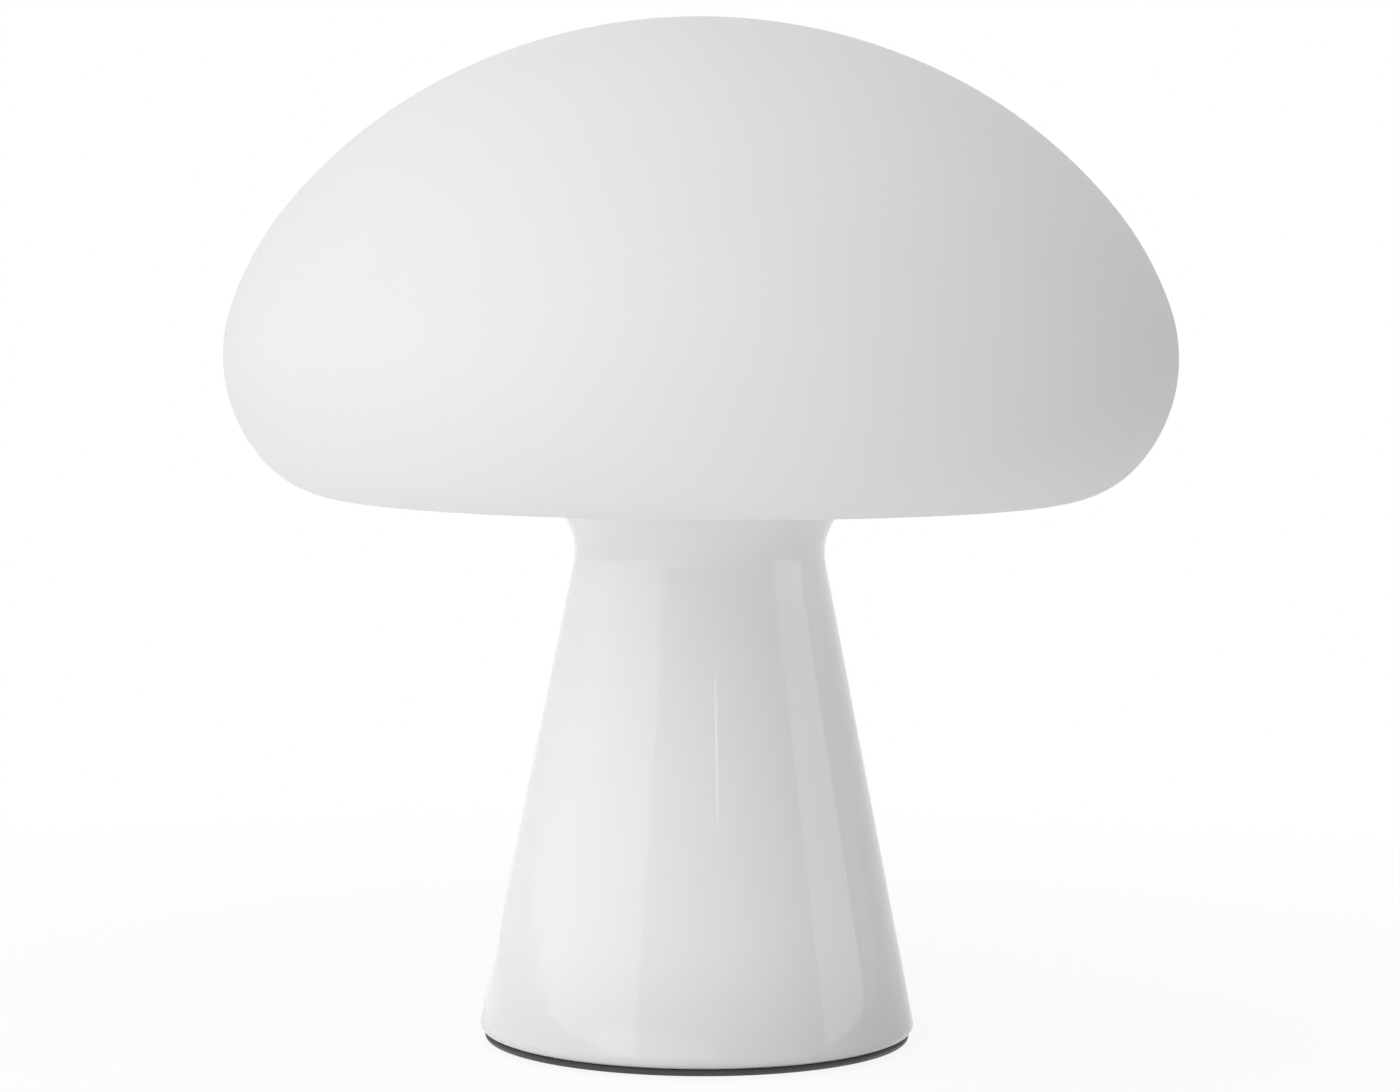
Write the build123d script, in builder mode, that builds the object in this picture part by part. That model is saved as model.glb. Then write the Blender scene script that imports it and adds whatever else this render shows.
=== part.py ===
from build123d import *
import os
from math import acos, atan2, cos, degrees, hypot, radians, sin

# Portable mushroom table lamp. One blown opal glass body, cap and stem in one piece, stands on a low
# dark base. The base carries a battery tower and an LED head up inside the stem, and the glass is held
# to it by a bayonet: set down, turn to lock.
# Millimetres, +Z up, origin on the table under the lamp's axis, front towards -Y.

# Driving dimensions

# Glass body. The cap's outline is a run of tangent arcs from the pole to the underside; each arc ends
# where the outline heads that many degrees below the horizontal.
overall_height = 216.3
cap_diameter = 200.0
glass_wall = 3.0
crown_heading = 25.4
shoulder_radius = 105.8
shoulder_heading = 49.8
haunch_radius = 69.1
haunch_heading = 70.2
edge_radius = 33.1
edge_heading = 129.8
lip_radius = 23.1
underside_rise = 1.5  # degrees that the underside climbs towards the stem
neck_radius = 26.4
flare_radius = 12.4
foot_radius = 46.0
rim_rounding = 2.0

# What the glass stands on
pad_thickness = 0.8
pad_inset = 5.0
flange_thickness = 1.0
flange_inset = 1.0
flange_rounding = 0.8
seat_ring_thickness = 0.3
seat_ring_width = 2.4
seat_ring_inset = 0.4
seat_clearance = 0.1

# Base housing and its bayonet
housing_wall = 4.7
housing_top = 20.0
deck_thickness = 2.0
cover_step = 1.4  # width of the step that the cover sits against
track_depth = 2.3
track_floor = 5.4
track_height = 3.4
lug_height = 2.6
lug_width = 10.0
lug_reach = 1.8
lug_root = 1.0
lug_count = 3
lug_angle = 90.0
lug_side_clearance = 1.5  # degrees each side
lock_turn = 24.0

# Collar bonded in the glass foot; its wall is given at its thin upper end
collar_wall = 2.1
collar_clearance = 0.5
collar_bottom = 4.4
collar_height = 11.6
bond_gap = 0.5
bond_clearance = 0.05
bond_inset = 1.0

# Cover, button and board under the deck
cover_thickness = 1.8
cover_clearance = 0.2
cover_screw_inset = 3.2
boss_radius = 2.9
board_gap = 1.2
board_thickness = 1.6
board_level = 8.0
board_screw_inset = 3.5
board_boss_radius = 2.4
button_radius = 5.6
button_lip = 1.3
button_lip_thickness = 0.8
button_recess = 0.3
button_clearance = 0.3
button_travel = 0.6
nub_radius = 1.5
plunger_radius = 1.7
plunger_length = 2.5
switch_size = 6.0
switch_height = 3.4
plunger_clearance = 0.1
socket_width = 9.0
socket_depth = 3.3
socket_wall = 0.3
socket_mouth_depth = 5.2
tongue_width = 6.6
tongue_thickness = 0.7
tongue_length = 4.4
socket_offset = 16.5
socket_clearance = 0.3
plug_room = 1.9  # room round the socket in the foot pad for a plug's grip
light_pipe_radius = 1.2
light_pipe_offset = 9.5
charge_led_size = 1.6
charge_led_height = 0.8
pipe_recess = 0.4
pipe_lip = 0.5
chip_corner = 0.3
capacitor_spots = [(12.0, 4.0), (7.5, -12.5)]
capacitor_radius = 2.0
capacitor_height = 4.2

# Ballast
ballast_level = 11.0
ballast_clearance = 0.5
ballast_bore = 2.5

# Battery tower
tower_foot_radius = 22.0
tower_top_radius = 20.6
tower_floor = 2.5
cell_radius = 9.2
cell_length = 65.0
cell_fillet = 0.8
cell_nub_radius = 2.8
cell_nub_height = 1.2
cell_clearance = 0.3
strip_thickness = 0.4
strip_width = 7.0
spring_height = 2.5
spring_radius = 7.0
contact_clearance = 0.05
lead_tab_width = 3.0
insulator_thickness = 1.0

# Wires and long screws run in the two corners beside the cells
corner_x = 5.5
corner_y = 12.2
wire_radius = 0.6
wire_clearance = 0.3
solder_stub = 0.6

# LED head
sink_base_thickness = 2.2
sink_base_radius = 20.0
sink_radius = 17.0
sink_core_radius = 15.7
fin_count = 3
fin_gap = 1.2
fin_thickness = 0.8
dome_ledge = 1.0
dome_grip = 3.0
led_board_radius = 15.8
led_board_thickness = 1.6
led_count = 12
led_circle = 9.5
led_size = 2.8
led_height = 0.8
dome_clearance = 0.1
dome_wall = 1.5
dome_skirt = 5.0

# Screws
m3_radius = 1.5
m3_head_radius = 2.7
m3_head_height = 2.0
m25_radius = 1.25
m25_head_radius = 2.2
m25_head_height = 1.0
m2_radius = 1.0
m2_head_radius = 1.9
m2_head_height = 1.2
thread_clearance = 0.05
thread_room = 1.0
shank_clearance = 0.25
head_clearance = 0.3
socket_share = 0.55  # hexagon recess, as a share of the head's radius
tower_screw_length = 13.0
sink_screw_length = 20.0
board_screw_length = 6.0
cover_screw_length = 8.0
led_screw_length = 5.0

rises_from = (Align.CENTER, Align.MIN)
stands_on = (Align.CENTER, Align.CENTER, Align.MIN)

os.makedirs("parts", exist_ok=True)

# Levels and shapes worked out from the driving dimensions

flange_top = pad_thickness + flange_thickness
rim_level = flange_top + seat_ring_thickness + seat_clearance
cover_top = pad_thickness + cover_thickness
deck_bottom = housing_top - deck_thickness
board_top = board_level + board_thickness
floor_top = housing_top + tower_floor
cell_bottom = floor_top + spring_height + contact_clearance
cell_top = cell_bottom + cell_length
tower_top = cell_top + strip_thickness
sink_bottom = tower_top + insulator_thickness
sink_base_top = sink_bottom + sink_base_thickness
ledge_top = sink_base_top + fin_count * (fin_gap + fin_thickness) + dome_ledge
sink_top = ledge_top + dome_grip
led_board_top = sink_top + led_board_thickness
dome_radius = sink_radius + dome_clearance + dome_wall

screw_corners = [(corner_x, corner_y), (-corner_x, -corner_y)]
led_wire_corners = [(-corner_x, corner_y), (corner_x, -corner_y)]
positive_wire_spot = (0, corner_y)
wire_hole = wire_radius + wire_clearance


def arc_run(arcs):
    """How far out and how far down a run of tangent arcs ends, from the pole."""
    out = down = start = 0.0
    for radius, heading in arcs:
        out += radius * (sin(radians(heading)) - sin(radians(start)))
        down += radius * (cos(radians(start)) - cos(radians(heading)))
        start = heading
    return out, down


# The crown's radius brings the edge arc's widest point to the cap's diameter.
beyond_crown = arc_run(
    [
        (0, crown_heading),
        (shoulder_radius, shoulder_heading),
        (haunch_radius, haunch_heading),
        (edge_radius, 90),
    ]
)[0]
crown_radius = (cap_diameter / 2 - beyond_crown) / sin(radians(crown_heading))
cap_arcs = [
    (crown_radius, crown_heading),
    (shoulder_radius, shoulder_heading),
    (haunch_radius, haunch_heading),
    (edge_radius, edge_heading),
    (lip_radius, 180 + underside_rise),
]
lip_out, lip_down = arc_run(cap_arcs)

# The neck sits where the straight underside runs tangent into the flare.
rise = radians(underside_rise)
flare_out = neck_radius + flare_radius
flare_start_out = flare_out + flare_radius * sin(rise)
flare_start_up = overall_height - lip_down + (lip_out - flare_start_out) * sin(rise) / cos(rise)
neck_height = flare_start_up - flare_radius * cos(rise)

# The stem is the line that touches the flare on its inner side and the rim's outer rounding. The rim's
# inner rounding takes up the rest of the wall, and both meet at the rim's lowest point.
rim_low_out = foot_radius - rim_rounding
across, up = flare_out - rim_low_out, neck_height - rim_level - rim_rounding
stem_slope = degrees(atan2(up, across) - acos((flare_radius + rim_rounding) / hypot(across, up)))
stem_normal = Vector(cos(radians(stem_slope)), sin(radians(stem_slope)))
inner_rounding = (glass_wall - rim_rounding * (1 + stem_normal.Y)) / (1 - stem_normal.Y)
outer_stem_end = Vector(rim_low_out, rim_level + rim_rounding) + stem_normal * rim_rounding
inner_stem_end = Vector(rim_low_out, rim_level + inner_rounding) - stem_normal * inner_rounding


def stem_bore(height):
    """Inner radius of the glass stem at a height."""
    return (inner_stem_end.dot(stem_normal) - height * stem_normal.Y) / stem_normal.X


# The base takes its sizes from the glass foot
flange_radius = foot_radius - flange_inset
pad_radius = flange_radius - pad_inset
collar_top = collar_bottom + collar_height
collar_bore = stem_bore(collar_top) - bond_gap - collar_wall
housing_radius = collar_bore - collar_clearance
cavity_radius = housing_radius - housing_wall
cover_screw_circle = cavity_radius - cover_screw_inset
board_radius = cover_screw_circle - boss_radius - board_gap
board_screw_circle = board_radius - board_screw_inset


def draw_glass_face(inset, stem_end):
    """Draws the outline from the pole to the rim, set in from the outer face, and returns its last edge."""
    start, tangent, heading = (0, overall_height - inset), (1, 0), 0.0
    for radius, end_heading in cap_arcs:
        arc = JernArc(start, tangent, radius - inset, heading - end_heading)
        start, tangent, heading = arc @ 1, arc % 1, end_heading
    reach = flare_radius + inset
    underside = Line(start, (flare_out + reach * sin(rise), neck_height + reach * cos(rise)))
    flare = JernArc(underside @ 1, underside % 1, reach, 90 + underside_rise + stem_slope)
    return Line(flare @ 1, stem_end)


def radial_plane(angle):
    """The upright plane through the lamp's axis that faces out at an angle."""
    turn = radians(angle)
    return Plane(origin=(0, 0, 0), x_dir=(cos(turn), sin(turn), 0), z_dir=(sin(turn), -cos(turn), 0))


def screw_set(spots, seat, length, radius, head_radius, head_height, up=True):
    """A group of socket screws at the same level: heads start at the seat, shanks run on from them."""
    way = 1 if up else -1
    with BuildPart() as screws:
        with BuildSketch(Plane.XY.offset(seat)):
            with Locations(*spots):
                Circle(head_radius)
        extrude(amount=-way * head_height)
        with BuildSketch(Plane.XY.offset(seat)):
            with Locations(*spots):
                Circle(radius)
        extrude(amount=way * length)
        with BuildSketch(Plane.XY.offset(seat - way * head_height)):
            with Locations(*spots):
                RegularPolygon(head_radius * socket_share, 6)
        extrude(amount=way * head_height * socket_share, mode=Mode.SUBTRACT)
    return screws


def circle_spots(radius, count, start_angle):
    """Points spread evenly on a circle."""
    turns = [radians(start_angle + 360 * i / count) for i in range(count)]
    return [(radius * cos(turn), radius * sin(turn)) for turn in turns]


cover_screw_spots = circle_spots(cover_screw_circle, 4, 45)
board_screw_spots = circle_spots(board_screw_circle, 3, 30)
led_screw_spots = [(-led_circle / 2, 0), (led_circle / 2, 0)]
cell_spots = [(-cell_radius - cell_clearance, 0), (cell_radius + cell_clearance, 0)]
cell_spacing = 2 * (cell_radius + cell_clearance)
socket_spot = (0, socket_offset)
light_pipe_spot = (light_pipe_offset, socket_offset)


def save(part, name):
    part.label = name
    export_step(part, f"parts/{name}.step")


# Glass body: cap and stem blown in one, with a fire-polished rim

with BuildPart() as glass_body:
    with BuildSketch(Plane.XZ):
        with BuildLine():
            stem = draw_glass_face(0, outer_stem_end)
            draw_glass_face(glass_wall, inner_stem_end)
            rim = JernArc(stem @ 1, stem % 1, rim_rounding, -90 - stem_slope)
            JernArc(rim @ 1, rim % 1, inner_rounding, stem_slope - 90)
            Line((0, overall_height), (0, overall_height - glass_wall))
        make_face()
    revolve(axis=Axis.Z)
save(glass_body.part, "glass_body")

# Collar: bayonet ring bonded in the glass foot, with lugs on its bore

lug_bottom = track_floor + (track_height - lug_height) / 2
lug_tip = housing_radius - lug_reach
lug_end = collar_bore + lug_root

with BuildPart() as glass_collar:
    with BuildSketch(Plane.XZ):
        Polygon(
            (collar_bore, collar_bottom),
            (stem_bore(collar_bottom) - bond_gap, collar_bottom),
            (stem_bore(collar_top) - bond_gap, collar_top),
            (collar_bore, collar_top),
            align=None,
        )
    revolve(axis=Axis.Z)
    with BuildSketch(Plane.XY.offset(lug_bottom)):
        with PolarLocations((lug_tip + lug_end) / 2, lug_count, start_angle=lug_angle):
            Rectangle(lug_end - lug_tip, lug_width)
    extrude(amount=lug_height)
save(glass_collar.part, "glass_collar")

# Bond: the silicone that fills the gap between collar and glass

bond_bottom = collar_bottom + bond_inset
bond_top = collar_top - bond_inset

with BuildPart() as glass_bond:
    with BuildSketch(Plane.XZ):
        Polygon(
            (stem_bore(bond_bottom) - bond_gap + bond_clearance, bond_bottom),
            (stem_bore(bond_bottom) - bond_clearance, bond_bottom),
            (stem_bore(bond_top) - bond_clearance, bond_top),
            (stem_bore(bond_top) - bond_gap + bond_clearance, bond_top),
            align=None,
        )
    revolve(axis=Axis.Z)
save(glass_bond.part, "glass_bond")

# Seat ring: the loose slip ring that the glass rim stands and turns on

seat_ring_radius = rim_low_out + seat_ring_width / 2 - seat_ring_inset

with BuildPart() as seat_ring:
    with BuildSketch(Plane.XY.offset(flange_top)):
        Circle(seat_ring_radius)
        Circle(seat_ring_radius - seat_ring_width, mode=Mode.SUBTRACT)
    extrude(amount=seat_ring_thickness)
save(seat_ring.part, "seat_ring")

# Foot pad: silicone disc under the base, open at the button, the socket and the charge light

with BuildPart() as foot_pad:
    with BuildSketch():
        Circle(pad_radius)
        Circle(button_radius + button_lip, mode=Mode.SUBTRACT)
        with Locations(socket_spot):
            SlotOverall(socket_width + 2 * plug_room, socket_depth + 2 * plug_room, mode=Mode.SUBTRACT)
        with Locations(light_pipe_spot):
            Circle(light_pipe_radius + wire_clearance, mode=Mode.SUBTRACT)
    extrude(amount=pad_thickness)
save(foot_pad.part, "foot_pad")

# Base housing: flange, bayonet wall, deck and bosses, open below

step_radius = cavity_radius + cover_step
track_bed = housing_radius - track_depth
entry_half = degrees(lug_width / 2 / track_bed) + lug_side_clearance

with BuildPart() as base_housing:
    with BuildSketch(Plane.XY.offset(pad_thickness)):
        Circle(flange_radius)
    extrude(amount=flange_thickness)
    with BuildSketch(Plane.XY.offset(pad_thickness)):
        Circle(housing_radius)
    extrude(amount=housing_top - pad_thickness)
    with BuildSketch(Plane.XY.offset(pad_thickness)):
        Circle(step_radius)
    extrude(amount=cover_thickness, mode=Mode.SUBTRACT)
    with BuildSketch(Plane.XY.offset(cover_top)):
        Circle(cavity_radius)
    extrude(amount=deck_bottom - cover_top, mode=Mode.SUBTRACT)
    # Bosses for the cover's screws reach the cover, those for the board reach the board
    with BuildSketch(Plane.XY.offset(cover_top)):
        with Locations(*cover_screw_spots):
            Circle(boss_radius)
    extrude(amount=deck_bottom - cover_top)
    with BuildSketch(Plane.XY.offset(board_top)):
        with Locations(*board_screw_spots):
            Circle(board_boss_radius)
    extrude(amount=deck_bottom - board_top)
    with BuildSketch(Plane.XY.offset(cover_top)):
        with Locations(*cover_screw_spots):
            Circle(m25_radius + thread_clearance)
    extrude(amount=cover_screw_length, mode=Mode.SUBTRACT)
    with BuildSketch(Plane.XY.offset(board_top)):
        with Locations(*board_screw_spots):
            Circle(m2_radius + thread_clearance)
    extrude(amount=board_screw_length, mode=Mode.SUBTRACT)
    # Ways through the deck for the tower's screws and the wires
    with BuildSketch(Plane.XY.offset(deck_bottom)):
        with Locations(*screw_corners):
            Circle(m3_radius + shank_clearance)
        with Locations(*led_wire_corners, positive_wire_spot, (0, 0)):
            Circle(wire_hole)
    extrude(amount=deck_thickness, mode=Mode.SUBTRACT)
    # Bayonet: each lug drops down an entry slot, then turns clockwise along its track and locks
    for spot in range(lug_count):
        entry_end = lug_angle + lock_turn + 360 * spot / lug_count + entry_half
        with BuildSketch(radial_plane(entry_end)):
            with Locations((track_bed, track_floor)):
                Rectangle(track_depth, housing_top - track_floor, align=Align.MIN)
        revolve(axis=Axis.Z, revolution_arc=-2 * entry_half, mode=Mode.SUBTRACT)
        with BuildSketch(radial_plane(entry_end)):
            with Locations((track_bed, track_floor)):
                Rectangle(track_depth, track_height, align=Align.MIN)
        revolve(axis=Axis.Z, revolution_arc=-2 * entry_half - lock_turn, mode=Mode.SUBTRACT)
    flange_edges = base_housing.edges().filter_by(GeomType.CIRCLE).sort_by(SortBy.RADIUS)[-2:]
    fillet(flange_edges.sort_by(Axis.Z)[0], flange_rounding)
save(base_housing.part, "base_housing")

# Bottom cover: steel plate that closes the housing

with BuildPart() as bottom_cover:
    with BuildSketch(Plane.XY.offset(pad_thickness)):
        Circle(step_radius - cover_clearance)
        Circle(button_radius + button_clearance, mode=Mode.SUBTRACT)
        with Locations(socket_spot):
            SlotOverall(
                socket_width + 2 * socket_clearance, socket_depth + 2 * socket_clearance, mode=Mode.SUBTRACT
            )
        with Locations(light_pipe_spot):
            Circle(light_pipe_radius + thread_clearance, mode=Mode.SUBTRACT)
        with Locations(*cover_screw_spots):
            Circle(m25_radius + shank_clearance, mode=Mode.SUBTRACT)
    extrude(amount=cover_thickness)
    with BuildSketch(Plane.XY.offset(pad_thickness)):
        with Locations(*cover_screw_spots):
            Circle(m25_head_radius + head_clearance)
    extrude(amount=m25_head_height, mode=Mode.SUBTRACT)
save(bottom_cover.part, "bottom_cover")

cover_screws = screw_set(
    cover_screw_spots,
    pad_thickness + m25_head_height,
    cover_screw_length,
    m25_radius,
    m25_head_radius,
    m25_head_height,
)
save(cover_screws.part, "cover_screws")

# Ballast: steel disc clamped under the deck, cleared round the bosses, screws and wires

with BuildPart() as ballast_disc:
    with BuildSketch(Plane.XY.offset(ballast_level)):
        Circle(cavity_radius - ballast_clearance)
        with Locations(*cover_screw_spots):
            Circle(boss_radius + ballast_clearance, mode=Mode.SUBTRACT)
        with Locations(*board_screw_spots):
            Circle(board_boss_radius + ballast_clearance, mode=Mode.SUBTRACT)
        with Locations(*screw_corners):
            Circle(m3_radius + shank_clearance, mode=Mode.SUBTRACT)
        with Locations(*led_wire_corners, positive_wire_spot):
            Circle(wire_hole, mode=Mode.SUBTRACT)
        Circle(ballast_bore, mode=Mode.SUBTRACT)
    extrude(amount=deck_bottom - ballast_level)
    with BuildSketch(Plane.XY.offset(ballast_level)):
        with Locations(*screw_corners):
            Circle(m3_head_radius + head_clearance)
    extrude(amount=m3_head_height, mode=Mode.SUBTRACT)
save(ballast_disc.part, "ballast_disc")

tower_screws = screw_set(
    screw_corners,
    ballast_level + m3_head_height,
    tower_screw_length,
    m3_radius,
    m3_head_radius,
    m3_head_height,
)
save(tower_screws.part, "tower_screws")

# Driver board and what is soldered to it

with BuildPart() as driver_board:
    with BuildSketch(Plane.XY.offset(board_level)):
        Circle(board_radius)
        with Locations(*board_screw_spots):
            Circle(m2_radius + shank_clearance, mode=Mode.SUBTRACT)
    extrude(amount=board_thickness)
save(driver_board.part, "driver_board")

board_screws = screw_set(
    board_screw_spots, board_level, board_screw_length, m2_radius, m2_head_radius, m2_head_height
)
save(board_screws.part, "board_screws")

socket_mouth = pad_thickness + socket_wall

with BuildPart() as usb_socket:
    with BuildSketch(Plane.XY.offset(socket_mouth)):
        with Locations(socket_spot):
            SlotOverall(socket_width, socket_depth)
    extrude(amount=board_level - socket_mouth)
    with BuildSketch(Plane.XY.offset(socket_mouth)):
        with Locations(socket_spot):
            SlotOverall(socket_width - 2 * socket_wall, socket_depth - 2 * socket_wall)
    extrude(amount=socket_mouth_depth, mode=Mode.SUBTRACT)
    with BuildSketch(Plane.XY.offset(socket_mouth + socket_mouth_depth)):
        with Locations(socket_spot):
            Rectangle(tongue_width, tongue_thickness)
    extrude(amount=-tongue_length)
save(usb_socket.part, "usb_socket")

switch_bottom = board_level - switch_height

with BuildPart() as switch_body:
    with BuildSketch(Plane.XY.offset(switch_bottom)):
        Rectangle(switch_size, switch_size)
    extrude(amount=switch_height)
    fillet(switch_body.edges().filter_by(Axis.Z), 0.4)
    with BuildSketch(Plane.XY.offset(switch_bottom)):
        Circle(plunger_radius + thread_clearance)
    extrude(amount=plunger_length + plunger_clearance, mode=Mode.SUBTRACT)
save(switch_body.part, "switch_body")

button_face = button_recess
lip_bottom = cover_top + seat_clearance
lip_top = lip_bottom + button_lip_thickness
nub_top = switch_bottom - button_travel

with BuildPart() as switch_plunger:
    with BuildSketch(Plane.XY.offset(nub_top)):
        Circle(plunger_radius)
    extrude(amount=plunger_length)
save(switch_plunger.part, "switch_plunger")

# Push button: dished cap through the cover, a lip that keeps it in, a nub on the switch's plunger

with BuildPart() as push_button:
    with BuildSketch(Plane.XY.offset(button_face)):
        Circle(button_radius)
    extrude(amount=lip_bottom - button_face)
    fillet(push_button.edges().sort_by(Axis.Z)[0], 0.4)
    with BuildSketch(Plane.XY.offset(lip_bottom)):
        Circle(button_radius + button_lip)
    extrude(amount=button_lip_thickness)
    with BuildSketch(Plane.XY.offset(lip_top)):
        Circle(nub_radius)
    extrude(amount=nub_top - lip_top)
save(push_button.part, "push_button")

# Components under the board: name, place on the board, length, width and height
chip_list = [
    ("power_inductor", (-11.0, 5.0), 6.0, 6.0, 3.0),
    ("charger_chip", (-9.0, -7.0), 5.0, 5.0, 0.9),
    ("led_driver_chip", (11.0, -5.0), 4.0, 3.0, 1.2),
]
for name, spot, length, width, height in chip_list:
    with BuildPart() as chip:
        with BuildSketch(Plane.XY.offset(board_level)):
            with Locations(spot):
                Rectangle(length, width)
        extrude(amount=-height)
        chamfer(chip.edges().filter_by(Axis.Z), chip_corner)
    save(chip.part, name)

with BuildPart() as board_capacitors:
    with BuildSketch(Plane.XY.offset(board_level)):
        with Locations(*capacitor_spots):
            Circle(capacitor_radius)
    extrude(amount=-capacitor_height)
save(board_capacitors.part, "board_capacitors")

with BuildPart() as charge_led:
    with BuildSketch(Plane.XY.offset(board_level)):
        with Locations(light_pipe_spot):
            Rectangle(charge_led_size, charge_led_size)
    extrude(amount=-charge_led_height)
save(charge_led.part, "charge_led")

pipe_bottom = pad_thickness + pipe_recess

with BuildPart() as light_pipe:
    with BuildSketch(Plane.XY.offset(pipe_bottom)):
        with Locations(light_pipe_spot):
            Circle(light_pipe_radius)
    extrude(amount=board_level - charge_led_height - contact_clearance - pipe_bottom)
    with BuildSketch(Plane.XY.offset(cover_top)):
        with Locations(light_pipe_spot):
            Circle(light_pipe_radius + pipe_lip)
    extrude(amount=pipe_lip)
save(light_pipe.part, "light_pipe")

# Battery tower: moulded holder on the deck with one pocket for both cells, screw holes and wire channels

pocket_width = cell_spacing + 2 * (cell_radius + cell_clearance)
pocket_depth = 2 * (cell_radius + cell_clearance)
tower_height = tower_top - housing_top
tower_bite = tower_screw_length - (deck_bottom - ballast_level - m3_head_height) - deck_thickness
sink_screw_seat = sink_top - m3_head_height
sink_screw_end = sink_screw_seat - sink_screw_length

with BuildPart() as battery_tower:
    with Locations((0, 0, housing_top)):
        Cone(tower_foot_radius, tower_top_radius, tower_height, align=stands_on)
    with BuildSketch(Plane.XY.offset(floor_top)):
        SlotOverall(pocket_width, pocket_depth)
    extrude(amount=tower_height - tower_floor, mode=Mode.SUBTRACT)
    with BuildSketch(Plane.XY.offset(housing_top)):
        with Locations(*screw_corners):
            Circle(m3_radius + thread_clearance)
    extrude(amount=tower_bite + thread_room, mode=Mode.SUBTRACT)
    with BuildSketch(Plane.XY.offset(tower_top)):
        with Locations(*screw_corners):
            Circle(m3_radius + thread_clearance)
    extrude(amount=-(tower_top - sink_screw_end + thread_room), mode=Mode.SUBTRACT)
    with BuildSketch(Plane.XY.offset(housing_top)):
        with Locations(*led_wire_corners, positive_wire_spot):
            Circle(wire_hole)
    extrude(amount=tower_height, mode=Mode.SUBTRACT)
    with BuildSketch(Plane.XY.offset(housing_top)):
        Circle(wire_hole)
    extrude(amount=tower_floor, mode=Mode.SUBTRACT)
    # Notch that lets the positive contact's tab out to its wire
    with BuildSketch(Plane.XY.offset(tower_top)):
        Rectangle(
            lead_tab_width + 2 * wire_clearance,
            corner_y + lead_tab_width / 2 + wire_clearance,
            align=rises_from,
        )
    extrude(amount=-(strip_thickness + seat_clearance), mode=Mode.SUBTRACT)
save(battery_tower.part, "battery_tower")

# Cells: both stand positive end up and are joined in parallel

can_length = cell_length - cell_nub_height
for name, spot in zip(("battery_cell_left", "battery_cell_right"), cell_spots):
    with BuildPart() as cell:
        with BuildSketch(Plane.XY.offset(cell_bottom)):
            with Locations(spot):
                Circle(cell_radius)
        extrude(amount=can_length)
        fillet(cell.edges().filter_by(GeomType.CIRCLE), cell_fillet)
        with BuildSketch(Plane.XY.offset(cell_bottom + can_length)):
            with Locations(spot):
                Circle(cell_nub_radius)
        extrude(amount=cell_nub_height)
    save(cell.part, name)

# Negative contact: a strip on the tower's floor with a sprung bow under each cell

bow_centre = floor_top + spring_height - spring_radius

with BuildPart() as negative_contact:
    with BuildSketch(Plane.XY.offset(floor_top)):
        Rectangle(cell_spacing + 2 * cell_nub_radius, strip_width)
    extrude(amount=strip_thickness)
    for spot in cell_spots:
        with BuildSketch(Plane.XZ):
            with Locations((spot[0], bow_centre)):
                Circle(spring_radius)
                Circle(spring_radius - strip_thickness, mode=Mode.SUBTRACT)
            with Locations((spot[0], floor_top)):
                Rectangle(2 * spring_radius, spring_height, align=rises_from, mode=Mode.INTERSECT)
        extrude(amount=strip_width / 2, both=True)
save(negative_contact.part, "negative_contact")

with BuildPart() as positive_contact:
    with BuildSketch(Plane.XY.offset(cell_top)):
        Rectangle(cell_spacing + 2 * cell_nub_radius, strip_width)
        Rectangle(lead_tab_width, corner_y + lead_tab_width / 2, align=rises_from)
        with Locations(positive_wire_spot):
            Circle(wire_radius + contact_clearance, mode=Mode.SUBTRACT)
    extrude(amount=strip_thickness)
save(positive_contact.part, "positive_contact")

with BuildPart() as insulator_disc:
    with BuildSketch(Plane.XY.offset(tower_top)):
        Circle(tower_top_radius)
        with Locations(*screw_corners):
            Circle(m3_radius + shank_clearance, mode=Mode.SUBTRACT)
        with Locations(*led_wire_corners):
            Circle(wire_hole, mode=Mode.SUBTRACT)
    extrude(amount=insulator_thickness)
save(insulator_disc.part, "insulator_disc")

# Heat sink: base, fins, ledge for the dome and the seat of the LED board

with BuildPart() as heat_sink:
    with BuildSketch(Plane.XY.offset(sink_bottom)):
        Circle(sink_base_radius)
    extrude(amount=sink_base_thickness)
    with BuildSketch(Plane.XY.offset(sink_base_top)):
        Circle(dome_radius)
    extrude(amount=ledge_top - sink_base_top)
    with BuildSketch(Plane.XY.offset(ledge_top)):
        Circle(sink_radius)
    extrude(amount=dome_grip)
    for fin in range(fin_count):
        with BuildSketch(Plane.XY.offset(sink_base_top + fin * (fin_gap + fin_thickness))):
            Circle(dome_radius)
            Circle(sink_core_radius, mode=Mode.SUBTRACT)
        extrude(amount=fin_gap, mode=Mode.SUBTRACT)
    with BuildSketch(Plane.XY.offset(sink_bottom)):
        with Locations(*screw_corners):
            Circle(m3_radius + shank_clearance)
        with Locations(*led_wire_corners):
            Circle(wire_hole)
    extrude(amount=sink_top - sink_bottom, mode=Mode.SUBTRACT)
    with BuildSketch(Plane.XY.offset(sink_screw_seat)):
        with Locations(*screw_corners):
            Circle(m3_head_radius + head_clearance)
    extrude(amount=m3_head_height, mode=Mode.SUBTRACT)
    with BuildSketch(Plane.XY.offset(sink_top)):
        with Locations(*led_screw_spots):
            Circle(m2_radius + thread_clearance)
    extrude(amount=-led_screw_length, mode=Mode.SUBTRACT)
save(heat_sink.part, "heat_sink")

sink_screws = screw_set(
    screw_corners, sink_screw_seat, sink_screw_length, m3_radius, m3_head_radius, m3_head_height, up=False
)
save(sink_screws.part, "sink_screws")

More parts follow.
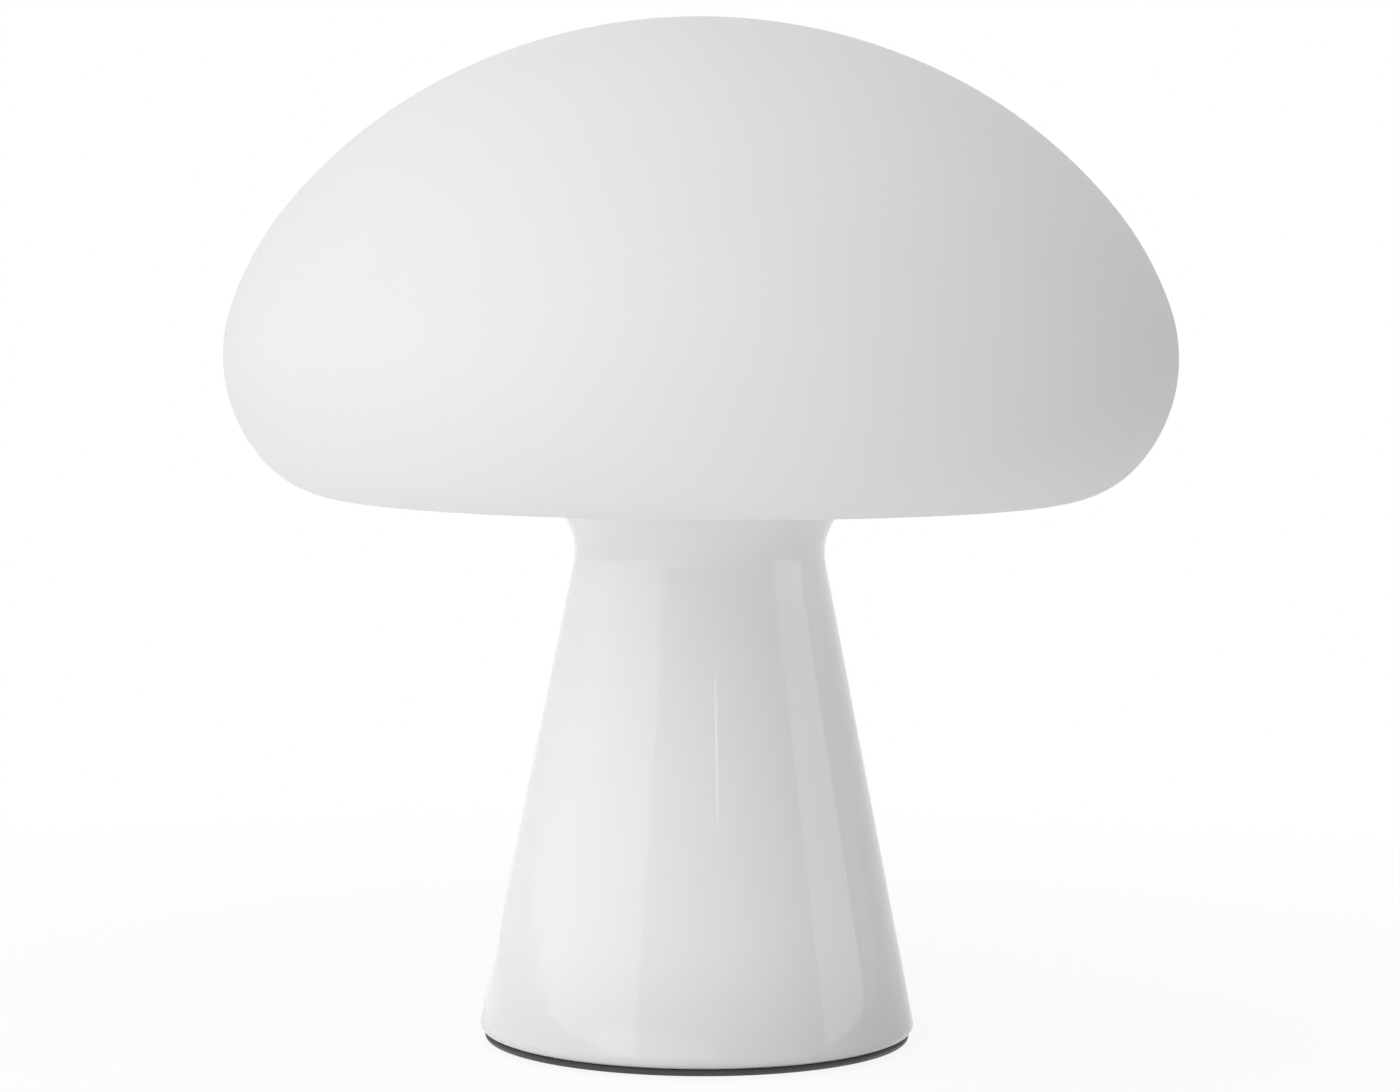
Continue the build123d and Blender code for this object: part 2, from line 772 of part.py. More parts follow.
with BuildPart() as led_board:
    with BuildSketch(Plane.XY.offset(sink_top)):
        Circle(led_board_radius)
        with Locations(*led_screw_spots):
            Circle(m2_radius + shank_clearance, mode=Mode.SUBTRACT)
        with Locations(*led_wire_corners):
            Circle(wire_radius + contact_clearance, mode=Mode.SUBTRACT)
    extrude(amount=led_board_thickness)
save(led_board.part, "led_board")

with BuildPart() as led_chips:
    with BuildSketch(Plane.XY.offset(led_board_top)):
        with PolarLocations(led_circle, led_count, start_angle=180 / led_count):
            Rectangle(led_size, led_size)
    extrude(amount=led_height)
save(led_chips.part, "led_chips")

led_screws = screw_set(
    led_screw_spots, led_board_top, led_screw_length, m2_radius, m2_head_radius, m2_head_height, up=False
)
save(led_screws.part, "led_screws")

# Diffuser dome: opal half sphere on a straight skirt, pushed over the heat sink's top

dome_spring = ledge_top + dome_skirt

with BuildPart() as diffuser_dome:
    with BuildSketch(Plane.XZ):
        with BuildLine():
            skirt = Line((dome_radius, ledge_top), (dome_radius, dome_spring))
            JernArc(skirt @ 1, skirt % 1, dome_radius, 90)
            Line((0, dome_spring + dome_radius), (0, dome_spring + dome_radius - dome_wall))
            inner_skirt = Line((dome_radius - dome_wall, ledge_top), (dome_radius - dome_wall, dome_spring))
            JernArc(inner_skirt @ 1, inner_skirt % 1, dome_radius - dome_wall, 90)
            Line(skirt @ 0, inner_skirt @ 0)
        make_face()
    revolve(axis=Axis.Z)
save(diffuser_dome.part, "diffuser_dome")

# Leads: straight insulated wires from the board up to the contacts and the LED board

lead_runs = [
    ("negative_lead", [(0, 0)], floor_top),
    ("positive_lead", [positive_wire_spot], tower_top),
    ("led_leads", led_wire_corners, led_board_top + solder_stub),
]
for name, spots, lead_top in lead_runs:
    with BuildPart() as lead:
        with BuildSketch(Plane.XY.offset(board_top)):
            with Locations(*spots):
                Circle(wire_radius)
        extrude(amount=lead_top - board_top)
    save(lead.part, name)
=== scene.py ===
import math

import bpy
import numpy as np
from mathutils import Matrix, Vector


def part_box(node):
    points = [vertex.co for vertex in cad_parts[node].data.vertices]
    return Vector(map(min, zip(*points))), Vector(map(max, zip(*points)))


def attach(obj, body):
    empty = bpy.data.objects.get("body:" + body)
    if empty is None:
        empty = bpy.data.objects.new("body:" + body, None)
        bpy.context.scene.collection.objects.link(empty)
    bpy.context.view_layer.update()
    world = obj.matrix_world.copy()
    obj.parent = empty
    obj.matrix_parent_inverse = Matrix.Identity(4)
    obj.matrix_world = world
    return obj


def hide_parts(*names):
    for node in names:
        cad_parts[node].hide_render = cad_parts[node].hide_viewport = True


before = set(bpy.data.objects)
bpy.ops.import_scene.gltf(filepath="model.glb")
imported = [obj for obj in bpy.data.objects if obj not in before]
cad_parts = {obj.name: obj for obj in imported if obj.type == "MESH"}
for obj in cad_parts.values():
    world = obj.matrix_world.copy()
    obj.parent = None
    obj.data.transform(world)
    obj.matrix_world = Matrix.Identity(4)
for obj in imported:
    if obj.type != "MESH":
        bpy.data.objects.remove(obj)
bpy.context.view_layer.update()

print("frame loaded:", len(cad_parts), "nodes")
mm = 0.001


# An output socket of a node: sums, differences, products and powers of it add Math nodes
class Sock:
    def __init__(self, tree, socket):
        self.tree = tree
        self.socket = socket

    def math(self, operation, *values):
        return self.tree.node("ShaderNodeMath", {"operation": operation}, dict(enumerate(values)))

    def __add__(self, other):
        return self.math("ADD", self, other)

    def __radd__(self, other):
        return self.math("ADD", other, self)

    def __sub__(self, other):
        return self.math("SUBTRACT", self, other)

    def __rsub__(self, other):
        return self.math("SUBTRACT", other, self)

    def __mul__(self, other):
        return self.math("MULTIPLY", self, other)

    def __rmul__(self, other):
        return self.math("MULTIPLY", other, self)

    def __pow__(self, other):
        return self.math("POWER", self, other)

    def __rpow__(self, other):
        return self.math("POWER", other, self)


# The nodes of one material or of the world; node() adds any of them
class Finish:
    def __init__(self, owner):
        owner.use_nodes = True
        self.nodes = owner.node_tree.nodes
        self.links = owner.node_tree.links
        self.nodes.clear()

    def put(self, socket, value):
        if isinstance(value, Sock):
            self.links.new(value.socket, socket)
        else:
            socket.default_value = value

    def node(self, kind, settings=None, inputs=None, output=0):
        made = self.nodes.new(kind)
        for name, value in (settings or {}).items():
            setattr(made, name, value)
        for key, value in (inputs or {}).items():
            self.put(made.inputs[key], value)
        return Sock(self, made.outputs[output])

    def place(self):
        return self.node("ShaderNodeTexCoord", output="Object")

    def axes(self, vector):
        split = self.node("ShaderNodeSeparateXYZ", inputs={0: vector}).socket.node
        return [Sock(self, split.outputs[axis]) for axis in "XYZ"]

    def noise(self, perMetre, detail=2.0, vector=None):
        return self.node("ShaderNodeTexNoise", {}, {"Scale": perMetre, "Detail": detail,
                                                    "Vector": vector or self.place()})

    # noise drawn out along an axis, by how often it repeats in a metre of X, Y and Z
    def streaks(self, perMetre, detail=3.0):
        stretched = self.node("ShaderNodeMapping", {}, {"Vector": self.place(), "Scale": perMetre})
        return self.noise(1.0, detail, stretched)

    # sin(2 pi amount / length), the length in millimetres
    def waves(self, amount, length):
        return self.node("ShaderNodeMath", {"operation": "SINE"}, {0: amount * (2 * math.pi / (length * mm))})

    def fade(self, value, low, high, fromValue=0.0, toValue=1.0):
        ends = {"Value": value, "From Min": low, "From Max": high, "To Min": fromValue, "To Max": toValue}
        return self.node("ShaderNodeMapRange", {"interpolation_type": "SMOOTHSTEP"}, ends)

    # from the dark colour at 0 to the light one at 1; sockets 6 and 7 are the Mix node's two colours
    def tint(self, factor, dark, light):
        dark, light = (color if isinstance(color, Sock) else (*color, 1) for color in (dark, light))
        return self.node("ShaderNodeMix", {"data_type": "RGBA"}, {0: factor, 6: dark, 7: light}, output=2)

    def bump(self, height, distance, strength, under=None):
        inputs = {"Height": height, "Distance": distance, "Strength": strength}
        if under:
            inputs["Normal"] = under
        return self.node("ShaderNodeBump", {}, inputs)

    def end(self, kind, source):
        self.put(self.nodes.new(kind).inputs[0], source)

    def shine(self, inputs):
        self.end("ShaderNodeOutputMaterial", self.node("ShaderNodeBsdfPrincipled", {}, inputs))

    # the distance from the Z axis, (x^2 + y^2)^0.5, and the height
    def fromAxis(self):
        x, y, z = self.axes(self.place())
        return (x * x + y * y) ** 0.5, z


def newFinish(name):
    material = bpy.data.materials.new(name)
    return material, Finish(material)


# Faces of a grid of points (rows, columns, 3) whose columns close round; a row that is one point is a pole
def skin(points, closedRows=False):
    rows, columns = points.shape[:2]
    index = np.arange(rows * columns).reshape(rows, columns)
    poles = np.ptp(points, axis=1).max(1) < 1e-9
    index[poles] = index[poles][:, :1]
    if closedRows:
        index = np.vstack([index, index[:1]])
    upper, lower = index[:-1], index[1:]
    quads = np.stack([upper, lower, np.roll(lower, -1, 1), np.roll(upper, -1, 1)], -1)
    return points.reshape(-1, 3), quads.reshape(-1, 4)


# A profile of (radius, height) turned about Z: (radius cos t, radius sin t, height)
def turned(profile, segments, closed=False):
    turn = np.linspace(0, 2 * np.pi, segments, endpoint=False)
    radius, height = np.asarray(profile).T[:, :, None]
    return skin(np.stack([radius * np.cos(turn), radius * np.sin(turn), height + 0 * turn], -1), closed)


# A box with rounded corners and edges, standing on z = 0: quarter-round rows (inset, height) carried
# round a rectangle, corner centre + (corner - inset) (cos t, sin t)
def block(size, corner, edge, steps=3):
    quarter = np.linspace(0, np.pi / 2, steps)
    turn = (quarter + np.arange(4)[:, None] * np.pi / 2).ravel()
    signs = np.repeat([[1, 1], [-1, 1], [-1, -1], [1, -1]], steps, 0)
    centre = signs * (np.array(size[:2]) / 2 - corner)
    inset = edge * (1 - np.sin(quarter))
    height = edge * (1 - np.cos(quarter))
    inset = np.concatenate([inset, inset[::-1]])[:, None]
    height = np.concatenate([size[2] - height, height[::-1]])[:, None]
    sides = np.stack([centre[:, 0] + (corner - inset) * np.cos(turn),
                      centre[:, 1] + (corner - inset) * np.sin(turn), height + 0 * turn], -1)
    poles = np.zeros((2, 1, len(turn), 3))
    poles[0, ..., 2] = size[2]
    return skin(np.concatenate([poles[0], sides, poles[1]]))


# A wire of radius w wound about Z: helix (r cos t, r sin t, rise t) plus w (cos p outward + sin p upward);
# each end closes in its middle
def wound(radius, bottom, top, turns, wire, stepsPerTurn=40, sides=10):
    turn = np.linspace(0, 2 * np.pi * turns, int(turns * stepsPerTurn))[:, None]
    around = np.linspace(0, 2 * np.pi, sides, endpoint=False)
    reach = radius + wire * np.cos(around)
    height = bottom + wire + (top - bottom - 2 * wire) * turn / turn[-1] + wire * np.sin(around)
    tube = np.stack([reach * np.cos(turn), reach * np.sin(turn), height], -1)
    ends = [np.broadcast_to(row.mean(0), (1, sides, 3)) for row in (tube[0], tube[-1])]
    return skin(np.concatenate([ends[0], tube, ends[1]]))


# The same shape once for each spot (x, y) or (x, y, z), each turned about its own upright axis
def copied(shape, spots, turns=0.0):
    points, quads = shape
    spots = np.asarray(spots, float)
    spots = np.pad(spots, ((0, 0), (0, 3 - spots.shape[1])))[:, None]
    turns = np.broadcast_to(turns, len(spots))[:, None]
    x = points[:, 0] * np.cos(turns) - points[:, 1] * np.sin(turns)
    y = points[:, 0] * np.sin(turns) + points[:, 1] * np.cos(turns)
    many = np.stack([x, y, points[:, 2] + 0 * x], -1) + spots
    shifts = np.arange(len(spots))[:, None, None] * len(points)
    return many.reshape(-1, 3), (quads + shifts).reshape(-1, 4)


def joined(*shapes):
    shifts = np.cumsum([0] + [len(points) for points, quads in shapes])
    return (np.concatenate([points for points, quads in shapes]),
            np.concatenate([quads + shift for (points, quads), shift in zip(shapes, shifts)]))


# Each inner corner c gives way to the bend (1-t)^2 a + 2t(1-t) c + t^2 b, a and b lying a reach before
# and after it
def softened(corners, reach, steps=5):
    corners = np.asarray(corners, float)
    middle = corners[1:-1]
    before, after = corners[:-2] - middle, corners[2:] - middle
    reach = np.broadcast_to(reach, len(middle))[:, None]
    a = middle + before / np.linalg.norm(before, axis=1, keepdims=True) * reach
    b = middle + after / np.linalg.norm(after, axis=1, keepdims=True) * reach
    t = np.linspace(0, 1, steps)[:, None, None]
    bends = (1 - t) ** 2 * a + 2 * t * (1 - t) * middle + t ** 2 * b
    return np.concatenate([corners[:1], bends.transpose(1, 0, 2).reshape(-1, 2), corners[-1:]])


# The profile moved inwards along its own normals, (-dz, dr) scaled to one
def inward(profile, distance):
    along = np.gradient(profile, axis=0)
    normal = np.stack([-along[:, 1], along[:, 0]], 1)
    return profile - distance * normal / np.linalg.norm(normal, axis=1, keepdims=True)


# Points of an arc that leaves start at a heading, in degrees below the horizontal, and turns on
# downwards by turn degrees: centre plus radius (sin heading, cos heading)
def arc(start, heading, radius, turn, count):
    angles = np.radians(np.linspace(heading, heading + turn, count))
    way = np.stack([np.sin(angles), np.cos(angles)], 1) * radius * np.sign(turn)
    return np.asarray(start) + way - way[0]


# Writes whole arrays, in millimetres, into a mesh: unused points go, quads at poles become triangles, and
# edges that bend by more than the angle, in degrees, stay sharp
def meshFrom(name, points, quads, sharpAngle=40.0):
    used, quads = np.unique(quads, return_inverse=True)
    quads = quads.reshape(-1, 4)
    keep = quads != np.roll(quads, 1, 1)
    counts = keep.sum(1)
    loops = quads[keep & (counts > 2)[:, None]]
    counts = counts[counts > 2]
    mesh = bpy.data.meshes.new(name)
    mesh.vertices.add(len(used))
    mesh.vertices.foreach_set("co", (points[used] * mm).astype(np.float32).ravel())
    mesh.loops.add(len(loops))
    mesh.loops.foreach_set("vertex_index", loops.astype(np.int32))
    mesh.polygons.add(len(counts))
    mesh.polygons.foreach_set("loop_start", np.concatenate([[0], counts.cumsum()[:-1]]).astype(np.int32))
    mesh.update(calc_edges=True)
    mesh.validate()
    mesh.polygons.foreach_set("use_smooth", np.ones(len(mesh.polygons), bool))
    mesh.set_sharp_from_angle(angle=math.radians(sharpAngle))
    return mesh


def addPiece(name, shape, material, body, *nodes, slot=None):
    mesh = meshFrom(name, *shape)
    piece = bpy.data.objects.new(name, mesh)
    bpy.context.scene.collection.objects.link(piece)
    mesh.materials.append(material)
    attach(piece, body)
    if nodes:
        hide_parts(*nodes)
    return piece


# lowest and highest corner of a CAD node, in millimetres
def nodeBox(node):
    return np.array(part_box(node)) / mm


# Sprayed paint: fine orange peel, slight speckle, a rubbed gloss in cloudy patches
def paintedMetal(name, color, speckle=0.12, rough=0.42):
    material, f = newFinish(name)
    light = tuple(c * (1 + speckle) + 0.01 for c in color)
    rubbed = f.fade(f.noise(70.0, detail=4.0), 0.35, 0.75)
    peel = f.bump(f.noise(1400.0), 0.02 * mm, 0.5, f.bump(f.noise(300.0), 0.03 * mm, 0.4))
    f.shine({"Base Color": f.tint(f.noise(900.0, detail=3.0), color, light), "Normal": peel,
             "Roughness": f.noise(120.0) * 0.12 + rough - rubbed * 0.08})
    return material


# Spark-eroded mould texture: fine even grain and faint flow clouds
def mouldedPlastic(name, color, rough=0.5, grain=0.03):
    material, f = newFinish(name)
    dark = tuple(c * 0.93 for c in color)
    f.shine({"Base Color": f.tint(f.noise(60.0), dark, color), "Roughness": f.noise(300.0) * 0.12 + rough,
             "Normal": f.bump(f.noise(3200.0, detail=1.0), grain * mm, 0.5)})
    return material


# Matt silicone with dust-fine mottling; a tread of fine rings where one is asked for
def rubberSkin(name, color, rough=0.7, ringPitch=None):
    material, f = newFinish(name)
    light = tuple(c * 1.25 + 0.004 for c in color)
    grain = f.bump(f.noise(4200.0), 0.02 * mm, 0.6)
    if ringPitch:
        away, up = f.fromAxis()
        grain = f.bump(f.waves(away, ringPitch), 0.1 * mm, 0.5, grain)
    f.shine({"Base Color": f.tint(f.noise(500.0, detail=4.0), color, light), "Specular IOR Level": 0.35,
             "Roughness": f.noise(200.0) * 0.14 + rough, "Normal": grain})
    return material


# Lathe-turned metal: fine rings about the lamp's axis
def turnedMetal(name, color, rough=0.28, pitch=0.7):
    material, f = newFinish(name)
    away, up = f.fromAxis()
    rings = f.bump(f.waves(away + up, pitch), 0.006 * mm, 0.4)
    dark = tuple(c * 0.82 for c in color)
    f.shine({"Base Color": f.tint(f.noise(400.0, detail=3.0), dark, color), "Metallic": 1.0,
             "Roughness": f.noise(700.0) * 0.16 + rough, "Normal": rings})
    return material


# Zinc, nickel or tin plate: cloudy brightness and fine rolling marks along X
def platedSteel(name, color, rough=0.3):
    material, f = newFinish(name)
    marks = f.streaks((300.0, 6000.0, 6000.0))
    dark = tuple(c * 0.78 for c in color)
    f.shine({"Base Color": f.tint(f.noise(350.0, detail=3.0), dark, color), "Metallic": 1.0,
             "Roughness": marks * 0.22 + rough, "Normal": f.bump(marks, 0.01 * mm, 0.5)})
    return material


# Solder mask over copper: bundles of straight tracks, sin^2 lines along X or along Y from patch to patch
def boardMask(name, color, trackColor, pitch=1.1):
    material, f = newFinish(name)
    waves = [f.waves(axis, 2 * pitch) for axis in f.axes(f.place())[:2]]
    alongX, alongY = (f.fade(wave * wave, 0.72, 0.8) for wave in waves)
    patch = f.fade(f.noise(95.0, detail=0.0), 0.495, 0.505)
    track = alongX * patch + alongY * (1 - patch)
    f.shine({"Base Color": f.tint(track, color, trackColor), "Roughness": f.noise(400.0) * 0.1 + 0.28,
             "Normal": f.bump(track, 0.035 * mm, 0.6)})
    return material


# Shrink sleeve: glossy film with soft lengthways ripples
def sleeveFilm(name, color):
    material, f = newFinish(name)
    ripple = f.streaks((700.0, 700.0, 60.0))
    dark = tuple(c * 0.8 for c in color)
    f.shine({"Base Color": f.tint(ripple, dark, color), "Roughness": f.noise(200.0) * 0.12 + 0.16,
             "Normal": f.bump(ripple, 0.05 * mm, 0.5)})
    return material


# Clear acrylic with faint flow lines
def clearAcrylic(name):
    material, f = newFinish(name)
    flow = f.streaks((2400.0, 2400.0, 200.0), detail=2.0)
    f.shine({"Base Color": f.tint(flow, (0.86, 0.9, 0.91), (0.94, 0.96, 0.96)), "IOR": 1.49,
             "Transmission Weight": 0.85, "Roughness": flow * 0.08 + 0.04,
             "Normal": f.bump(flow, 0.01 * mm, 0.4)})
    return material


# Opal glass. The outline is a run of tangent arcs: crown, shoulder, haunch, edge and lip, then the
# underside, the flare of the neck and the straight stem.
glass = {
    "height": 216.3, "capRadius": 100.0, "wall": 3.0,
    "headings": (25.4, 49.8, 70.2, 129.8, 181.5),  # where each arc ends, degrees below the horizontal
    "radii": (None, 105.8, 69.1, 33.1, 23.1),      # the crown's follows from the cap's radius
    "neckRadius": 26.4, "flareRadius": 12.4, "footRadius": 46.0, "rimRounding": 2.0, "rimLevel": 2.2,
    "segments": 256, "degreesPerStep": 1.6, "flareSteps": 44, "stemSteps": 16, "undersideSteps": 8,
    "rimSteps": (12, 9),                           # round the outer and the inner edge of the rim
    "satinFrom": 114.0, "satinOutside": 40.0,      # the etching ends under the cap, just outside the flare
    "satinAllAbove": 118.0,                        # and covers the inside too from here up
    "satinRoughness": 0.6, "glossRoughness": 0.015,
    "color": (0.885, 0.885, 0.883), "depth": 2.5, "translucence": 0.6,
    "clouds": 0.985,                               # the share of the colour left in its faint clouds
    # painted shade at the foot: the share of the colour left there, and the heights in mm it fades over
    "footPaintedShade": 0.93, "footPaintedShadeOver": (4.0, 30.0),
}


# the wall's outline as (radius, height), down its outer face, round the rim and up its inner face
def glassOutline():
    g = glass
    wall, level, rounding = g["wall"], g["rimLevel"], g["rimRounding"]
    headings = np.radians(g["headings"])
    beyondCrown = g["radii"][3] * (1 - np.sin(headings[2]))
    for radius, low, high in zip(g["radii"][1:3], headings[:2], headings[1:3]):
        beyondCrown += radius * (np.sin(high) - np.sin(low))
    radii = [(g["capRadius"] - beyondCrown) / np.sin(headings[0]), *g["radii"][1:]]
    rise = headings[-1] - np.pi

    # the arcs of the cap, each from where the one before it ends
    def capRun(inset):
        point, heading, run = np.array([0, g["height"] - inset]), 0.0, []
        for radius, end in zip(radii, g["headings"]):
            count = int((end - heading) / g["degreesPerStep"]) + 2
            run.append(arc(point, heading, radius - inset, end - heading, count))
            point, heading = run[-1][-1], end
        return run

    lipOut, lipUp = capRun(0)[-1][-1]
    flareOut = g["neckRadius"] + g["flareRadius"]
    flareStart = flareOut + g["flareRadius"] * math.sin(rise)
    neckUp = lipUp + (lipOut - flareStart) * math.tan(rise) - g["flareRadius"] * math.cos(rise)
    rimOut = g["footRadius"] - rounding
    across, up = flareOut - rimOut, neckUp - level - rounding
    slope = math.atan2(up, across) - math.acos((g["flareRadius"] + rounding) / math.hypot(across, up))
    normal = np.array([math.cos(slope), math.sin(slope)])
    innerRounding = (wall - rounding * (1 + normal[1])) / (1 - normal[1])

    # one face of the wall, inset from the outer one: cap, underside, flare and stem
    def face(inset, stemEnd):
        run = capRun(inset)
        reach = g["flareRadius"] + inset
        start = np.array([flareOut + reach * math.sin(rise), neckUp + reach * math.cos(rise)])
        turn = -90 - math.degrees(rise + slope)
        flare = arc(start, 180 + math.degrees(rise), reach, turn, g["flareSteps"])
        underside = np.linspace(run[-1][-1], start, g["undersideSteps"])
        stem = np.linspace(flare[-1], stemEnd, g["stemSteps"])
        return np.concatenate([*(part[:-1] for part in run), underside[:-1], flare[:-1], stem])

    outerCentre = np.array([rimOut, level + rounding])
    innerCentre = np.array([rimOut, level + innerRounding])
    outer = face(0, outerCentre + normal * rounding)
    inner = face(wall, innerCentre - normal * innerRounding)
    lean = math.degrees(slope)
    outerRim = arc(outer[-1], 90 - lean, rounding, 90 + lean, g["rimSteps"][0])
    innerRim = arc(outerRim[-1], 180, innerRounding, 90 - lean, g["rimSteps"][1])
    return np.concatenate([outer, outerRim[1:], innerRim[1:-1], inner[::-1]])


# Etched satin outside the cap, gloss on the stem, a faint waviness over both, and painted shade at the foot:
# the glass colour turns greyer towards the bottom, where the dark housing stands behind the glass
def opalGlassFinish():
    g = glass
    material, f = newFinish("opalGlass")
    away, up = f.fromAxis()

    def past(value, place, blend=0.5):
        return f.fade(value, (place - blend) * mm, (place + blend) * mm)

    outside = past(away, g["satinOutside"], blend=1.0)
    satin = past(up, g["satinFrom"]) * (outside + past(up, g["satinAllAbove"]) * (1 - outside))
    cloudy, paintedShadeColor = ([c * share for c in g["color"]] for share in (g["clouds"], g["footPaintedShade"]))
    color = f.tint(f.fade(f.noise(14.0, detail=3.0), 0.3, 0.7), cloudy, g["color"])
    # painted shade: the colour greys towards the foot of the stem
    color = f.tint(f.fade(up, *(z * mm for z in g["footPaintedShadeOver"])), paintedShadeColor, color)
    wave = f.bump(f.noise(20.0, detail=1.0), 0.15 * mm, 0.2)
    grain = f.bump(f.noise(2600.0) * satin, 0.02 * mm, 0.25, wave)
    gloss = f.noise(60.0) * 0.012 + g["glossRoughness"]
    rough = gloss + satin * (g["satinRoughness"] - g["glossRoughness"])
    f.shine({"Base Color": color, "Roughness": rough, "Normal": grain, "IOR": 1.5,
             "Subsurface Weight": g["translucence"], "Subsurface Scale": g["depth"] * mm,
             "Subsurface Radius": (1.0, 1.0, 0.97)})
    return material


opalGlass = addPiece("opal_glass", turned(glassOutline(), glass["segments"]), opalGlassFinish(),
                     "glass", "glass_body", slot="opal_glass")
print("glass made:", len(opalGlass.data.polygons), "faces")


# Diffuser dome: a half circle on a straight skirt, the same one wall further in, eased at the rim
dome = {"wall": 1.5, "rimEase": 0.35, "segments": 128, "arcSteps": 40, "color": (0.88, 0.88, 0.87)}


def domeProfile():
    low, high = nodeBox("diffuser_dome")
    sweep = np.linspace(np.pi / 2, 0, dome["arcSteps"])
    centre = np.array([0, high[2] - high[0]])
    outer = centre + high[0] * np.stack([np.cos(sweep), np.sin(sweep)], 1)
    inner = centre + (high[0] - dome["wall"]) * np.stack([np.cos(sweep), np.sin(sweep)], 1)
    rim = softened([outer[-1], (outer[-1][0], low[2]), (inner[-1][0], low[2]), inner[-1]], dome["rimEase"])
    return np.concatenate([outer[:-1], rim, inner[-2::-1]])


addPiece("dome_shell", turned(domeProfile(), dome["segments"]),
         mouldedPlastic("domeOpal", dome["color"], rough=0.4, grain=0.01), "base", "diffuser_dome")


# Battery cells: a rolled can with a crimp groove and a raised end, a white washer and a shrink sleeve
# folded over both ends
cell = {
    "film": 0.1, "foldWidth": 1.6, "edge": 0.6, "groove": 0.45, "grooveFromTop": 3.4, "grooveHalf": 0.9,
    "endHeight": 1.2, "endRadius": 2.8, "endDraft": 0.2, "seatDepth": 0.35, "crimp": (2.6, 2.2),
    "washer": (3.3, 6.6, 0.25), "washerGap": 0.02, "segments": 96,
}


# the side of a cell from its top edge down: a bevel, the groove and the lower bevel
def cellSide(top, bottom, radius):
    c = cell
    groove = top - c["grooveFromTop"]
    return [(radius - c["edge"], top), (radius, top - c["edge"]), (radius, groove + c["grooveHalf"]),
            (radius - c["groove"], groove), (radius, groove - c["grooveHalf"]),
            (radius, bottom + c["edge"]), (radius - c["edge"], bottom)]


def makeCell(side, sleeveColor):
    c = cell
    node = "battery_cell_" + side
    low, high = nodeBox(node)
    spot = [((low + high) / 2)[:2]]
    radius = (high[1] - low[1]) / 2
    bottom, canTop = low[2], high[2] - c["endHeight"]
    film = c["film"]
    seat = canTop - film - c["seatDepth"]
    end = [(0, high[2]), (c["endRadius"] - c["endDraft"], high[2]), (c["endRadius"], seat),
           (radius - c["crimp"][0], seat), (radius - c["crimp"][1], canTop - film)]
    can = [*end, *cellSide(canTop - film, bottom + film, radius - film), (0, bottom + film)]
    can = turned(softened(can, 0.15, 4), c["segments"])
    addPiece("cell_can_" + side, copied(can, spot),
             platedSteel(side + "CanNickel", (0.7, 0.69, 0.66), rough=0.24), "base", node)
    fold = radius - c["edge"] - c["foldWidth"]
    outer = softened([(fold, canTop), *cellSide(canTop, bottom, radius), (fold, bottom)], 0.2)
    sleeve = np.concatenate([outer, inward(outer, film * 0.8)[::-1]])
    addPiece("cell_sleeve_" + side, copied(turned(sleeve, c["segments"], closed=True), spot),
             sleeveFilm(side + "Sleeve", sleeveColor), "base", node)
    hole, out, thick = c["washer"]
    under = seat + c["washerGap"]
    washer = [(hole, seat + thick), (out, seat + thick), (out, under), (hole, under)]
    addPiece("cell_washer_" + side, copied(turned(washer, c["segments"], closed=True), spot),
             mouldedPlastic(side + "WasherCard", (0.84, 0.84, 0.82), rough=0.6), "base", node)


makeCell("left", (0.03, 0.16, 0.36))
makeCell("right", (0.03, 0.17, 0.38))


# Push button: a dish with fine grip rings below, the stepped body, the lip and the nub above
button = {"faceRadius": 5.2, "dish": 0.45, "rings": 7, "ringHeight": 0.035, "dishSteps": 90,
          "bodyRadius": 5.6, "lipThickness": 0.8, "lipWidth": 1.3, "nubRadius": 1.5, "nubHeight": 0.5,
          "roundings": (0.15, 0.1, 0.15, 0.15, 0.1, 0.28), "segments": 96}


# corners from the nub's top to the face's edge, then the dish: dish (1 - s^2) and ring waves,
# (1 - cos(2 pi rings s)) 4 s (1 - s), at the share s of the face's radius
def buttonProfile():
    b = button
    low, high = nodeBox("push_button")
    lipTop = high[2] - b["nubHeight"]
    lipUnder = lipTop - b["lipThickness"]
    lipRadius = b["bodyRadius"] + b["lipWidth"]
    steps = softened([(0, high[2]), (b["nubRadius"], high[2]), (b["nubRadius"], lipTop), (lipRadius, lipTop),
                      (lipRadius, lipUnder), (b["bodyRadius"], lipUnder), (b["bodyRadius"], low[2]),
                      (b["faceRadius"], low[2])], b["roundings"])
    away = np.linspace(b["faceRadius"], 0, b["dishSteps"])
    share = away / b["faceRadius"]
    rings = b["ringHeight"] * (1 - np.cos(2 * np.pi * b["rings"] * share)) * share * (1 - share) * 4
    dish = np.stack([away, low[2] + b["dish"] * (1 - share ** 2) + rings], 1)
    return np.concatenate([steps, dish[1:]])


addPiece("button_cap", turned(buttonProfile(), button["segments"]),
         mouldedPlastic("buttonMoulding", (0.075, 0.075, 0.08), rough=0.55), "button", "push_button")


# Power inductor: a ferrite drum and a winding of round wire between its flanges
inductor = {"radius": 2.95, "flange": 0.65, "core": 1.7, "rounding": 0.12, "segments": 48,
            "wire": 0.13, "layers": 2, "firstLayer": 1.05, "layerStep": 1.9}  # the last two in wire radii


